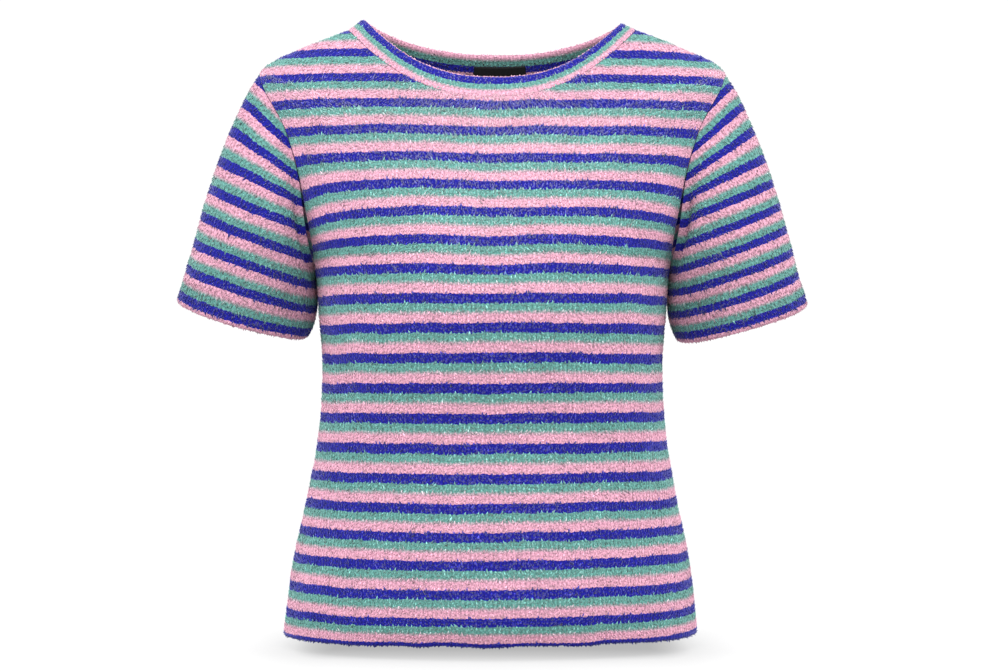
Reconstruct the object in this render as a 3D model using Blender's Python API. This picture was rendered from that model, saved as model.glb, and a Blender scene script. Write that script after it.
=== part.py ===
"""A short-sleeved crew-neck jumper in striped crinkle knit, filled out as if worn.

Metres, +Z up, +X to the wearer's left, -Y is the front.  The origin lies between the
shoulders, where the wearer carries the garment.  Front and back are cut panels joined by
shoulder and side seams, two sleeves are set into the armholes, a folded neckband closes the
neckline, and a plain label hangs inside the back neck.  Each piece is a closed wall of cloth,
open where the wearer goes through: hem, neck and cuffs.
"""

import math
from collections import namedtuple

import bmesh
import bpy
import numpy as np

# ------------------------------------------------------------------ driving sizes
CLOTH = 0.0024  # one layer of the crinkled knit
HEM_FOLD = 0.0020  # what the turned-up layer adds inside a hem
HEM_DEPTH = 0.022  # height of the turned-up hem of body and sleeves
HEM_STEP = 0.003  # over which the turned-up layer ends
SEAM_GAP = 0.0003  # clearance between neighbouring pieces
BAND_THICKNESS = 0.0042  # neckband: the knit folded double
LABEL_WIDTH = 0.048
LABEL_THICKNESS = 0.0010
LABEL_OFF_CENTRE = 0.007  # towards the wearer's left
LABEL_CLEARANCE = 0.0004  # from the band, whose flats bow a little inwards

# Cross-sections of front and back, hem to neck seam.  half_width is to the side seam or the
# shoulder seam, front and back are the depths before and behind it, and z_* are heights.
# square rounds the section (2 is an ellipse) and lift bends it up towards its ends.
Ring = namedtuple("Ring", "name half_width front back z_front z_side z_back square lift")
TORSO_RINGS = (
    Ring("hem", 0.1770, 0.119, 0.112, -0.4872, -0.490, -0.4895, 2.2, 2.0),
    Ring("hip", 0.1668, 0.112, 0.107, -0.4260, -0.427, -0.4270, 2.2, 2.0),
    Ring("high hip", 0.1570, 0.106, 0.098, -0.3720, -0.372, -0.3725, 2.2, 2.0),
    Ring("waist", 0.1484, 0.106, 0.091, -0.3200, -0.320, -0.3200, 2.2, 2.0),
    Ring("under bust", 0.1448, 0.113, 0.093, -0.2650, -0.265, -0.2650, 2.2, 2.0),
    Ring("bust", 0.1466, 0.118, 0.101, -0.2100, -0.210, -0.2100, 2.2, 2.0),
    Ring("underarm", 0.1500, 0.113, 0.108, -0.1720, -0.176, -0.1700, 2.2, 2.0),
    Ring("chest", 0.1700, 0.096, 0.108, -0.1280, -0.118, -0.1220, 2.2, 2.0),
    Ring("upper chest", 0.1870, 0.078, 0.101, -0.0900, -0.062, -0.0820, 2.2, 2.0),
    Ring("shoulder point", 0.1955, 0.065, 0.090, -0.0650, -0.017, -0.0500, 2.1, 2.0),
    Ring("mid shoulder", 0.1580, 0.057, 0.076, -0.0500, 0.006, -0.0260, 2.0, 2.2),
    Ring("neck seam", 0.1220, 0.051, 0.062, -0.0405, 0.020, -0.0100, 2.0, 2.3),
)
BAND_FOLD = Ring("band fold", 0.1085, 0.0435, 0.053, -0.0225, 0.030, 0.0095, 2.0, 2.4)

# The armhole seam reaches round from the side line by this angle at its middle, and by a
# little more above it than below.
ARMHOLE_REACH = math.radians(25)
ARMHOLE_HIGH = 0.10

# Cuff of the wearer's left sleeve: its outer end is the higher one and its front edge dips.
CUFF_CENTRE = (0.2120, 0.000, -0.2235)
CUFF_WIDTH = 0.1135
CUFF_DEPTH = 0.096
CUFF_SLOPE = math.radians(14.5)
CUFF_DIP = math.radians(8.5)

# How the sleeve's cloth leaves the armhole and reaches the cuff, over the shoulder, at the
# front, under the arm and at the back.  A longer arrow holds its direction further.
Around = namedtuple("Around", "over front under back")
LEAVING_ARMHOLE = Around(
    over=(0.110, 0.000, -0.176),
    front=(0.069, -0.076, -0.092),
    under=(0.000, 0.000, -0.060),
    back=(0.069, 0.050, -0.092),
)
REACHING_CUFF = Around(
    over=(0.058, 0.000, -0.195),
    front=(0.032, 0.000, -0.134),
    under=(0.016, 0.000, -0.058),
    back=(0.032, 0.000, -0.134),
)

# Shares of the way from the neck seam to the fold: where the band starts to round over, and
# where the label begins and ends, below the seam.
BAND_ROUNDING = 0.88
LABEL_SHARES = (0.45, 0.10, -0.25, -0.55)

# Mesh density
PANEL_COLUMNS = 30
BODY_ROWS = 12
ARMHOLE_ROWS = 12
SHOULDER_ROWS = 5
SLEEVE_ROWS = 9
BAND_COLUMNS = 48
LABEL_COLUMNS = 6

# Looks
KNIT_COLOUR = (0.23, 0.21, 0.36, 1.0)  # the three stripes together
KNIT_ROUGHNESS = 0.95
LABEL_COLOUR = (0.012, 0.012, 0.014, 1.0)
LABEL_ROUGHNESS = 0.6


# ------------------------------------------------------------------ the body's surface
def smooth_through(knots, values, at):
    """Values at any place along the knots, on cubics that run through every row of values."""
    step = np.diff(knots)
    rise = np.diff(values, axis=0) / step[:, None]
    slope = np.empty_like(values)
    slope[0], slope[-1] = rise[0], rise[-1]
    before, after = step[:-1, None], step[1:, None]
    slope[1:-1] = (rise[:-1] * after + rise[1:] * before) / (before + after)
    place = np.clip(np.searchsorted(knots, at, side="right") - 1, 0, len(step) - 1)
    span = step[place][..., None]
    share = (at - knots[place])[..., None] / span
    start, leaving = values[place], slope[place] * span
    end, reaching = values[place + 1], slope[place + 1] * span
    return hermite(share, start, leaving, end, reaching)


def hermite(share, start, leaving, end, reaching):
    """The cubic from start to end that has these directions at its ends."""
    s = share
    return (
        (1 + 2 * s) * (1 - s) ** 2 * start
        + s * (1 - s) ** 2 * leaving
        + s * s * (3 - 2 * s) * end
        + s * s * (s - 1) * reaching
    )


def ring_runs(rings):
    """How far up the cloth each cross-section lies, taken between its front and its sides."""
    front = np.array([(ring.front, ring.z_front) for ring in rings])
    side = np.array([(ring.half_width, ring.z_side) for ring in rings])
    steps = [np.linalg.norm(np.diff(line, axis=0), axis=1) for line in (front, side)]
    return np.concatenate([[0.0], np.cumsum(sum(steps) / 2)])


RING_VALUES = np.array([ring[1:] for ring in TORSO_RINGS])
RING_RUN = ring_runs(TORSO_RINGS)
RUN_AT = {ring.name: run for ring, run in zip(TORSO_RINGS, RING_RUN)}
TOP = RING_RUN[-1]


def signed_power(value, power):
    return np.sign(value) * np.abs(value) ** power


def unit(vectors):
    return vectors / np.linalg.norm(vectors, axis=-1, keepdims=True)


def ring_point(values, sweep, panel):
    """A point of a cross-section: sweep runs from -90 to 90 degrees, side to side."""
    half_width, front, back, z_front, z_side, z_back, square, lift = np.moveaxis(values, -1, 0)
    across = signed_power(np.sin(sweep), 2 / square)
    deep = signed_power(np.cos(sweep), 2 / square)
    depth, z_middle = (-front, z_front) if panel == "front" else (back, z_back)
    height = z_middle + (z_side - z_middle) * np.abs(across) ** lift
    return np.stack([half_width * across, depth * deep, height], -1)


def torso_point(sweep, run, panel):
    return ring_point(smooth_through(RING_RUN, RING_VALUES, run), sweep, panel)


def torso_frame(sweep, run, panel):
    """Point and outward direction of the body's outer face."""
    nudge = 1e-5
    higher, lower = np.minimum(run + nudge, TOP), np.maximum(run - nudge, 0)
    across = torso_point(sweep + nudge, run, panel) - torso_point(sweep - nudge, run, panel)
    up = torso_point(sweep, higher, panel) - torso_point(sweep, lower, panel)
    outward = unit(np.cross(unit(across), unit(up)))
    return torso_point(sweep, run, panel), outward if panel == "front" else -outward


def armhole(turn):
    """Run and sweep of the armhole seam.  turn is 0 at the shoulder and pi under the arm."""
    low, high = RUN_AT["underarm"], RUN_AT["shoulder point"]
    run = low + (high - low) * (1 + np.cos(turn)) / 2
    reach = ARMHOLE_REACH * (np.sin(turn) + ARMHOLE_HIGH * np.sin(2 * turn))
    return run, math.pi / 2 - reach


# ------------------------------------------------------------------ walls of cloth
def build_wall(name, outer, inner, material, closed=False):
    """A closed wall between two grids of points, [row][column]; closed joins its sides."""
    rows, columns = outer.shape[0] - 1, outer.shape[1] - (0 if closed else 1)
    bm = bmesh.new()
    bmesh.ops.create_grid(bm, x_segments=columns, y_segments=rows, size=0.5)
    column = bm.verts.layers.int.new("column")
    row = bm.verts.layers.int.new("row")
    for vert in bm.verts:
        vert[column] = round((vert.co.x + 0.5) * columns)
        vert[row] = round((vert.co.y + 0.5) * rows)
        if closed:
            angle = 2 * math.pi * vert[column] / columns
            vert.co = (math.cos(angle), math.sin(angle), vert.co.y)
            vert[column] %= columns
    if closed:
        bmesh.ops.remove_doubles(bm, verts=bm.verts, dist=1e-5)
    inside = set(bm.verts)
    bmesh.ops.extrude_face_region(bm, geom=bm.faces[:])
    for vert in bm.verts:
        points = inner if vert in inside else outer
        vert.co = points[vert[row], vert[column]]
    bmesh.ops.recalc_face_normals(bm, faces=bm.faces)
    mesh = bpy.data.meshes.new(name)
    bm.to_mesh(mesh)
    bm.free()
    mesh.shade_smooth()
    mesh.set_sharp_from_angle(angle=math.radians(50))
    mesh.materials.append(material)
    return bpy.data.objects.new(name, mesh)


def hem_layer(distance):
    """What the turned-up layer adds to the wall, by the distance from a hem's edge."""
    return HEM_FOLD * np.clip((HEM_DEPTH - distance) / HEM_STEP + 0.5, 0, 1)


HEM_ROWS = np.array([0, HEM_DEPTH / 2, HEM_DEPTH - HEM_STEP / 2])
HEM_END = HEM_DEPTH + HEM_STEP / 2


# ------------------------------------------------------------------ front and back
def panel_rows():
    """Run and greatest sweep of each row of a panel, hem to neck seam."""
    low, high = RUN_AT["underarm"], RUN_AT["shoulder point"]
    below = np.concatenate([HEM_ROWS, np.linspace(HEM_END, low, BODY_ROWS, endpoint=False)])
    beside, reach = armhole(np.linspace(math.pi, 0, ARMHOLE_ROWS + 1))
    above = np.linspace(high, TOP - SEAM_GAP / 2, SHOULDER_ROWS + 1)[1:]
    quarter = math.pi / 2
    sweeps = [np.full(len(below), quarter), reach, np.full(len(above), quarter)]
    return np.concatenate([below, beside, above]), np.concatenate(sweeps)


def body_panel(panel):
    runs, sweeps = panel_rows()
    rings = smooth_through(RING_RUN, RING_VALUES, runs)
    depth, square = rings[:, 1 if panel == "front" else 2], rings[:, 6]
    seam_clearance = (SEAM_GAP / 2 / depth) ** (square / 2)
    share = np.linspace(-1, 1, PANEL_COLUMNS + 1)
    sweep = share[None, :] * (sweeps - seam_clearance)[:, None]
    run = np.repeat(runs[:, None], len(share), axis=1)
    outer, outward = torso_frame(sweep, run, panel)
    wall = CLOTH + hem_layer(run)[..., None]
    return build_wall(panel, outer, outer - outward * wall, knit(panel))


# ------------------------------------------------------------------ sleeves
def armhole_loop(turns):
    """Armhole seam and the body's outward direction there, for a whole turn: shoulder, down
    the front, under the arm, up the back."""
    seam, outward = np.empty((len(turns), 3)), np.empty((len(turns), 3))
    for panel, chosen in (("front", turns <= math.pi), ("back", turns > math.pi)):
        turn = turns[chosen] if panel == "front" else 2 * math.pi - turns[chosen]
        run, sweep = armhole(turn)
        seam[chosen], outward[chosen] = torso_frame(sweep, run, panel)
    return seam, outward


def cuff_loop(turns):
    out = np.array([math.cos(CUFF_SLOPE), 0, math.sin(CUFF_SLOPE)])
    ahead = np.array([0, -math.cos(CUFF_DIP), -math.sin(CUFF_DIP)])
    across = np.cos(turns)[:, None] * CUFF_WIDTH / 2
    deep = np.sin(turns)[:, None] * CUFF_DEPTH / 2
    return np.array(CUFF_CENTRE) + across * out + deep * ahead


def blend_around(turns, arrows):
    """A smooth loop through four arrows, a quarter turn apart."""
    over, front, under, back = np.array(arrows)
    cos, sin, twice = (wave[:, None] for wave in (np.cos(turns), np.sin(turns), np.cos(2 * turns)))
    mean = (over + front + under + back) / 4
    oval = (over + under - front - back) / 4
    return mean + (over - under) / 2 * cos + (front - back) / 2 * sin + oval * twice


def sleeve_ends(turns):
    """Start, first direction, end and last direction of the cloth at each turn."""
    seam, outward = armhole_loop(turns)
    leaving = blend_around(turns, LEAVING_ARMHOLE)
    under = (1 - np.cos(turns))[:, None] / 2
    start = seam + SEAM_GAP * (unit(leaving) + outward * under)
    return start, leaving, cuff_loop(turns), blend_around(turns, REACHING_CUFF)


def sleeve_surface(turns, shares):
    """Outer face of the wearer's left sleeve, [row][column], armhole to cuff."""
    return hermite(shares[..., None], *sleeve_ends(turns))


def sleeve(name, side):
    """side is 1 for the wearer's left and -1 for the right, its mirror image."""
    turns = np.linspace(0, 2 * math.pi, 2 * ARMHOLE_ROWS, endpoint=False)
    start, _, end, _ = sleeve_ends(turns)
    length = np.linalg.norm(end - start, axis=1)
    plain = np.linspace(0, 1, SLEEVE_ROWS + 1)[:, None] * (1 - HEM_END / length)
    turned_up = 1 - HEM_ROWS[::-1, None] / length
    shares = np.concatenate([plain, turned_up])
    outer = sleeve_surface(turns, shares)
    nudge = 1e-4
    around = sleeve_surface(turns + nudge, shares) - sleeve_surface(turns - nudge, shares)
    along = sleeve_surface(turns, shares + nudge) - sleeve_surface(turns, shares - nudge)
    outward = unit(np.cross(around, along))
    to_cuff = (1 - shares) * length
    inner = outer - outward * (CLOTH + hem_layer(to_cuff))[..., None]
    mirror = np.array([side, 1, 1])
    return build_wall(name, outer * mirror, inner * mirror, knit(name), closed=True)


# ------------------------------------------------------------------ neckband and label
def band_point(turn, share):
    """Outer face of the neckband: turn 0 is the front middle, share 0 the seam, 1 the fold."""
    seam, fold = RING_VALUES[-1], np.array(BAND_FOLD[1:])
    values = seam + (fold - seam) * share[..., None]
    turn = np.mod(turn + math.pi, 2 * math.pi) - math.pi
    in_front = np.abs(turn) <= math.pi / 2
    sweep = np.where(in_front, turn, np.sign(turn) * math.pi - turn)
    front, back = (ring_point(values, sweep, panel) for panel in ("front", "back"))
    return np.where(in_front[..., None], front, back)


def band_frame(turn, share):
    """Point of the band's outer face, its outward direction and its way up."""
    nudge = 1e-4
    up = unit(band_point(turn, share + nudge) - band_point(turn, share - nudge))
    around = unit(band_point(turn + nudge, share) - band_point(turn - nudge, share))
    return band_point(turn, share), unit(np.cross(around, up)), up


def neckband():
    turns = np.linspace(0, 2 * math.pi, BAND_COLUMNS, endpoint=False)
    half = BAND_THICKNESS / 2
    flat = np.linspace(0, BAND_ROUNDING, 4)
    rounded = BAND_ROUNDING + (1 - BAND_ROUNDING) * np.array([0.5, 0.87])
    shares = np.concatenate([flat, rounded])[:, None]
    outer, outward, up = band_frame(turns[None, :], np.repeat(shares, BAND_COLUMNS, axis=1))
    over = np.clip((shares - BAND_ROUNDING) / (1 - BAND_ROUNDING), 0, 1)
    swell = half * np.sqrt(1 - over**2)[..., None]
    middle = outer - outward * half + up * (SEAM_GAP * (1 - shares))[..., None]
    front, back = middle + outward * swell, middle - outward * swell
    return build_wall("neckband", front, back, knit("neckband"), closed=True)


def label():
    """Hangs from the band's inner face at the back, with its lower half free."""
    radius = RING_VALUES[-1][0]
    reach = LABEL_WIDTH / 2 / radius
    centre = math.pi - LABEL_OFF_CENTRE / radius
    turns = np.linspace(centre - reach, centre + reach, LABEL_COLUMNS + 1)
    shares = np.repeat(np.array(LABEL_SHARES)[:, None], len(turns), axis=1)
    point, outward, _ = band_frame(turns[None, :], shares)
    outer = point - outward * (BAND_THICKNESS + LABEL_CLEARANCE)
    cloth = plain_material("label", LABEL_COLOUR, LABEL_ROUGHNESS)
    return build_wall("label", outer, outer - outward * LABEL_THICKNESS, cloth)


# ------------------------------------------------------------------ materials and assembly
def plain_material(name, colour, roughness):
    material = bpy.data.materials.new(name)
    material.use_nodes = True
    shader = material.node_tree.nodes["Principled BSDF"]
    shader.inputs["Base Color"].default_value = colour
    shader.inputs["Roughness"].default_value = roughness
    shader.inputs["Metallic"].default_value = 0.0
    return material


def knit(name):
    return plain_material(f"{name}_knit", KNIT_COLOUR, KNIT_ROUGHNESS)


def main():
    for old in list(bpy.data.objects):
        bpy.data.objects.remove(old)
    jumper = bpy.data.collections.new("jumper")
    bpy.context.scene.collection.children.link(jumper)
    jumper.objects.link(body_panel("front"))
    jumper.objects.link(body_panel("back"))
    jumper.objects.link(sleeve("sleeve_left", 1))
    jumper.objects.link(sleeve("sleeve_right", -1))
    jumper.objects.link(neckband())
    jumper.objects.link(label())


main()
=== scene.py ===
"""Looks of a short-sleeved crew-neck jumper in striped crinkle knit, filled out as if worn.

Metres, +Z up, +X to the wearer's left, -Y is the front.  Every piece of cloth is a closed
wall of its own, dense outside and coarse inside, with the knit's crinkles in its mesh.  A
mesh of its own holds the pile that stands on it, one tuft to each stitch.
"""

import math
from collections import namedtuple

import bmesh
import bpy
import numpy as np
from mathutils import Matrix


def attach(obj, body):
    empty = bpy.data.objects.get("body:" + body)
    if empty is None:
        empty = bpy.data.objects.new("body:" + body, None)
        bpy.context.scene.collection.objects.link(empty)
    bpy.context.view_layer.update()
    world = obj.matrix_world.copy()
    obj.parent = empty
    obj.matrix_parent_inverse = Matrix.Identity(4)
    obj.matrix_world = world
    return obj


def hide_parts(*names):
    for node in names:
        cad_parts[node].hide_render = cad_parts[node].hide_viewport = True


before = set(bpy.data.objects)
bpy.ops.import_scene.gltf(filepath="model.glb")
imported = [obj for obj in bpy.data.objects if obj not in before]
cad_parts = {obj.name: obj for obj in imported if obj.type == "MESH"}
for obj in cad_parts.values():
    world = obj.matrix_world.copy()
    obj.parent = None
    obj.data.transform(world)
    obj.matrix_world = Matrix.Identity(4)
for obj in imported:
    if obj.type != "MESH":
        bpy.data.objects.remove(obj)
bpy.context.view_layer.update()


# ============================================================ front and back panels
# The two body panels are cut from a striped pile knit, crinkled as it comes off the machine.
# They are overlocked to each other at the sides and shoulders, and their hems are turned up
# once.  The stripes run level round the body: blue, green and pink, going down.
CLOTH = 0.0024
HEM_FOLD = 0.0020  # what the turned-up layer adds
HEM_DEPTH = 0.022
HEM_STEP = 0.003
SEAM_ROUNDING = 0.0007
SEAM_ZONE = 0.0018  # width of the cells along a seam
SEAM_CALM = 0.005  # how far from a seam the relief has its whole height
NAP_CAUGHT = 0.45  # the pile's share that is left at a seam
NAP_WORN = 0.22  # and at a folded edge
NAP_REACH = 0.004
OVER_NECK_SEAM = 0.003  # how much less the pile is caught in along the neck seam
FINER = 4  # outer cells for each inner one, each way
INNER_CELL = 0.0086

Ring = namedtuple("Ring", "name half_width front back z_front z_side z_back square lift")
TORSO_RINGS = (
    Ring("hem", 0.1745, 0.1110, 0.107, -0.4875, -0.4885, -0.4895, 2.2, 2.0),
    Ring("over the hem", 0.1734, 0.1145, 0.110, -0.4770, -0.4780, -0.4785, 2.2, 2.0),
    Ring("hip", 0.1668, 0.1145, 0.107, -0.4262, -0.428, -0.4270, 2.2, 2.0),
    Ring("high hip", 0.1553, 0.109, 0.098, -0.3720, -0.372, -0.3725, 2.2, 2.0),
    Ring("waist", 0.1463, 0.106, 0.091, -0.3200, -0.320, -0.3200, 2.2, 2.0),
    Ring("under bust", 0.1430, 0.113, 0.093, -0.2650, -0.265, -0.2650, 2.2, 2.0),
    Ring("bust", 0.1466, 0.118, 0.101, -0.2100, -0.210, -0.2100, 2.2, 2.0),
    Ring("underarm", 0.1500, 0.113, 0.108, -0.1720, -0.176, -0.1700, 2.2, 2.0),
    Ring("chest", 0.1700, 0.096, 0.108, -0.1280, -0.118, -0.1220, 2.2, 2.0),
    Ring("upper chest", 0.1870, 0.078, 0.101, -0.0900, -0.062, -0.0820, 2.2, 2.0),
    Ring("shoulder point", 0.1965, 0.065, 0.090, -0.0650, -0.0145, -0.0500, 2.1, 2.0),
    Ring("mid shoulder", 0.1580, 0.057, 0.076, -0.0500, 0.0078, -0.0260, 2.0, 2.2),
    Ring("neck seam", 0.1220, 0.051, 0.062, -0.0405, 0.0220, -0.0100, 2.0, 2.3),
)
HEM_SWAY = 0.0018  # how far the hem hangs to the wearer's right
HEM_LIFT = 0.0012  # how much higher it is on the wearer's left
HEM_LIFT_FROM = 0.060  # how far from the middle it is lifted whole
HEM_REACH = 0.15  # how far up both are felt
ARMHOLE_REACH = math.radians(25)
ARMHOLE_HIGH = 0.10
ARMHOLE_EVEN = 0.2  # share of even spacing among the rows beside the armhole
ARMHOLE_CELLS = 28
WIDTH_STEPS = 240  # how finely each row's width is measured

Mottle = namedtuple("Mottle", "size across along")  # its most, and its cells on the cloth
PUCKERS = Mottle(0.00045, 0.019, 0.026)
CRINKLES = Mottle(0.00030, 0.0075, 0.010)
LONG_WAVER = Mottle(0.0007, 0.030, 0.040)
SHORT_WAVER = Mottle(0.0004, 0.0055, 0.012)
HEM_HANG = Mottle(0.0008, 0.035, 0.200)
HEM_HANG_REACH = 0.020

STRIPE_REPEAT = 0.024  # one blue, one green and one pink stripe
Stripe = namedtuple("Stripe", "height number")
BODY_STRIPES = (
    Stripe(-0.4866, 21),
    Stripe(-0.4665, 20),
    Stripe(-0.4214, 18),
    Stripe(-0.3764, 16),
    Stripe(-0.2806, 12),
    Stripe(-0.1612, 7),
    Stripe(-0.1154, 5),
    Stripe(-0.0465, 2),
    Stripe(-0.0014, 0),
)
TILT_TOP = 0.008  # how much the stripes tilt at the neck
TILT_HEM = 0.006  # and the other way at the hem
TILT_TURN = 0.25  # how far down they lie level
TILT_GROWTH = 0.20
Sag = namedtuple("Sag", "depth x width z height")
MIDDLE_SAG = Sag(0.0018, 0.000, 0.030, -0.240, 0.040)  # from z upwards
BUST_SAG = Sag(0.0045, 0.000, 0.140, -0.140, 0.033)  # from this width outwards
BUST_SLANT = 0.0066  # how much less that is for each metre to the wearer's left
CHEST_SAG = Sag(0.0012, 0.060, 0.038, -0.100, 0.045)


def hermite(share, start, leaving, end, reaching):
    """The cubic from start to end that has these directions at its ends."""
    s = share
    return (
        (1 + 2 * s) * (1 - s) ** 2 * start
        + s * (1 - s) ** 2 * leaving
        + s * s * (3 - 2 * s) * end
        + s * s * (s - 1) * reaching
    )


def smooth_through(table, at):
    """Values at any place along a table's first column, on cubics through all its rows and
    straight on past its ends."""
    table = np.array(table, float)
    knots, values = table[:, 0], table[:, 1:]
    step = np.diff(knots)
    rise = np.diff(values, axis=0) / step[:, None]
    slope = np.empty_like(values)
    slope[0], slope[-1] = rise[0], rise[-1]
    before, after = step[:-1, None], step[1:, None]
    slope[1:-1] = (rise[:-1] * after + rise[1:] * before) / (before + after)
    place = np.clip(np.searchsorted(knots, at, side="right") - 1, 0, len(step) - 1)
    span = step[place][..., None]
    free = (at - knots[place])[..., None] / span
    share = np.clip(free, 0, 1)
    leaving, reaching = slope[place] * span, slope[place + 1] * span
    inside = hermite(share, values[place], leaving, values[place + 1], reaching)
    return inside + (free - share) * np.where(free < 0, leaving, reaching)


def unit(vectors):
    return vectors / np.linalg.norm(vectors, axis=-1, keepdims=True)


def bell(*away):
    """1 where every value is 0, and less all round."""
    return np.exp(-sum(value**2 for value in away))


def signed_power(value, power):
    return np.sign(value) * np.abs(value) ** power


def ring_runs(rings):
    """How far up the cloth each cross-section lies, taken between its front and its sides."""
    front = np.array([(ring.front, ring.z_front) for ring in rings])
    side = np.array([(ring.half_width, ring.z_side) for ring in rings])
    steps = [np.linalg.norm(np.diff(line, axis=0), axis=1) for line in (front, side)]
    return np.concatenate([[0.0], np.cumsum(sum(steps) / 2)])


RING_RUN = ring_runs(TORSO_RINGS)
RING_TABLE = [(run, *ring[1:]) for run, ring in zip(RING_RUN, TORSO_RINGS)]
RUN_AT = {ring.name: run for ring, run in zip(TORSO_RINGS, RING_RUN)}
TOP = RING_RUN[-1]


def ring_point(values, sweep, panel):
    """A point of a cross-section: sweep runs from -90 to 90 degrees, side to side."""
    half_width, front, back, z_front, z_side, z_back, square, lift = np.moveaxis(values, -1, 0)
    across = signed_power(np.sin(sweep), 2 / square)
    deep = signed_power(np.cos(sweep), 2 / square)
    depth, z_middle = (-front, z_front) if panel == "front" else (back, z_back)
    height = z_middle + (z_side - z_middle) * np.abs(across) ** lift
    return np.stack([half_width * across, depth * deep, height], -1)


def torso_point(sweep, run, panel):
    point = ring_point(smooth_through(RING_TABLE, run), sweep, panel)
    near_hem = np.clip(1 - run / HEM_REACH, 0, 1)
    point[..., 2] += HEM_LIFT * near_hem * np.clip(point[..., 0] / HEM_LIFT_FROM, 0, 1)
    point[..., 0] -= HEM_SWAY * near_hem
    return point


def torso_frame(sweep, run, panel):
    """Point, outward direction and way up of the body's outer face."""
    nudge = 1e-5
    higher, lower = np.minimum(run + nudge, TOP), np.maximum(run - nudge, 0)
    across = torso_point(sweep + nudge, run, panel) - torso_point(sweep - nudge, run, panel)
    up = unit(torso_point(sweep, higher, panel) - torso_point(sweep, lower, panel))
    outward = unit(np.cross(unit(across), up))
    return torso_point(sweep, run, panel), outward if panel == "front" else -outward, up


def armhole(turn):
    """Run and sweep of the armhole seam.  turn is 0 at the shoulder and pi under the arm."""
    low, high = RUN_AT["underarm"], RUN_AT["shoulder point"]
    run = low + (high - low) * (1 + np.cos(turn)) / 2
    reach = ARMHOLE_REACH * (np.sin(turn) + ARMHOLE_HIGH * np.sin(2 * turn))
    return run, math.pi / 2 - reach


def mottle(u, v, kind, seed):
    """Smooth random hills and hollows on the cloth."""
    cells = 256
    lattice = np.random.default_rng(seed).uniform(-1, 1, (cells, cells))
    s, t = u / kind.across, v / kind.along
    i, j = np.floor(s).astype(int), np.floor(t).astype(int)
    f, g = s - i, t - j
    f, g = f * f * (3 - 2 * f), g * g * (3 - 2 * g)
    i, j, right, up = i % cells, j % cells, (i + 1) % cells, (j + 1) % cells
    lower = lattice[i, j] * (1 - f) + lattice[right, j] * f
    upper = lattice[i, up] * (1 - f) + lattice[right, up] * f
    return kind.size * (lower * (1 - g) + upper * g)


def crinkle(u, v, seed):
    """Height of the knit's relief under its pile: puckers and small crinkles."""
    return mottle(u, v, PUCKERS, seed) + mottle(u, v, CRINKLES, seed + 1)


def stripe_waver(u, v, seed):
    """How far the courses of stitches wander off their even lines."""
    return mottle(u, v, LONG_WAVER, seed) + mottle(u, v, SHORT_WAVER, seed + 3)


def finer(stations):
    """The same stations with FINER steps between neighbours."""
    cells = len(stations) - 1
    return np.interp(np.linspace(0, cells, cells * FINER + 1), np.arange(cells + 1), stations)


def hem_layer(distance):
    """What the turned-up layer adds to the wall, by the distance from a hem's edge."""
    return HEM_FOLD * np.clip((HEM_DEPTH - distance) / HEM_STEP + 0.5, 0, 1)


HEM_HALF = (CLOTH + HEM_FOLD) / 2
HEM_STATIONS = (HEM_HALF, 0.0085, 0.0145, HEM_DEPTH - HEM_STEP / 2, HEM_DEPTH + HEM_STEP / 2)
HEM_CELLS = len(HEM_STATIONS) - 1


def seam_dip(distance):
    """How far the outer face sinks towards a seam, round a quarter of a small circle."""
    away = np.clip(distance / SEAM_ROUNDING, 0, 1)
    return SEAM_ROUNDING * (1 - np.sqrt(1 - (1 - away) ** 2))


def seam_calm(distance):
    """The relief's share that is left beside a seam."""
    return np.clip(distance / SEAM_CALM, 0, 1)


def nap_size(to_seam, to_fold):
    """How long the pile is, by the distances from a seam, where it is caught in, and from a
    folded edge, where it is worn."""
    caught = NAP_CAUGHT + (1 - NAP_CAUGHT) * np.clip(to_seam / NAP_REACH, 0, 1)
    worn = NAP_WORN + (1 - NAP_WORN) * np.clip(to_fold / NAP_REACH, 0, 1)
    return np.minimum(caught, worn)


def seam_columns(width, cells):
    """Places of the fine columns across each row, with narrow cells along both its ends."""
    places = np.arange(cells * FINER + 1) / FINER
    ends = np.clip(places, 0, 1) + np.clip(places - (cells - 1), 0, 1)
    between = np.clip((places - 1) / (cells - 2), 0, 1)
    return SEAM_ZONE * ends + (width[..., None] - 2 * SEAM_ZONE) * between


def placed(name, data):
    """A new object in the scene with this mesh, lamp or camera."""
    holder = bpy.data.objects.new(name, data)
    bpy.context.scene.collection.objects.link(holder)
    return holder


def wall_mesh(name, rows, columns, closed, fine_inside):
    """An outer and an inner sheet of cells joined all round, with fine cells where they show.
    Each vertex holds its row, its column and its side, 1 outside and 0 inside."""
    bm = bmesh.new()
    bmesh.ops.create_grid(bm, x_segments=columns, y_segments=rows, size=0.5)
    row, column, side = (bm.verts.layers.float.new(word) for word in ("row", "column", "side"))
    for vert in bm.verts:
        vert[column] = round((vert.co.x + 0.5) * columns)
        vert[row] = round((vert.co.y + 0.5) * rows)
    inside = set(bm.verts)
    bmesh.ops.extrude_face_region(bm, geom=bm.faces[:])
    for vert in bm.verts:
        vert[side] = 0.0 if vert in inside else 1.0
    if closed:
        ends = [
            face
            for face in bm.faces
            if any(all(vert[column] == end for vert in face.verts) for end in (0, columns))
        ]
        bmesh.ops.delete(bm, geom=ends, context="FACES_ONLY")
    borders = ((row, 0), (row, rows), (column, 0), (column, columns))
    dense = [
        edge
        for edge in bm.edges
        if fine_inside
        or any(vert[side] == 1 for vert in edge.verts)
        or any(all(vert[layer] == end for vert in edge.verts) for layer, end in borders)
    ]
    bmesh.ops.subdivide_edges(
        bm, edges=dense, cuts=FINER - 1, use_grid_fill=True, use_single_edge=True
    )
    mesh = bpy.data.meshes.new(name)
    bm.to_mesh(mesh)
    bm.free()
    return mesh


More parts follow.
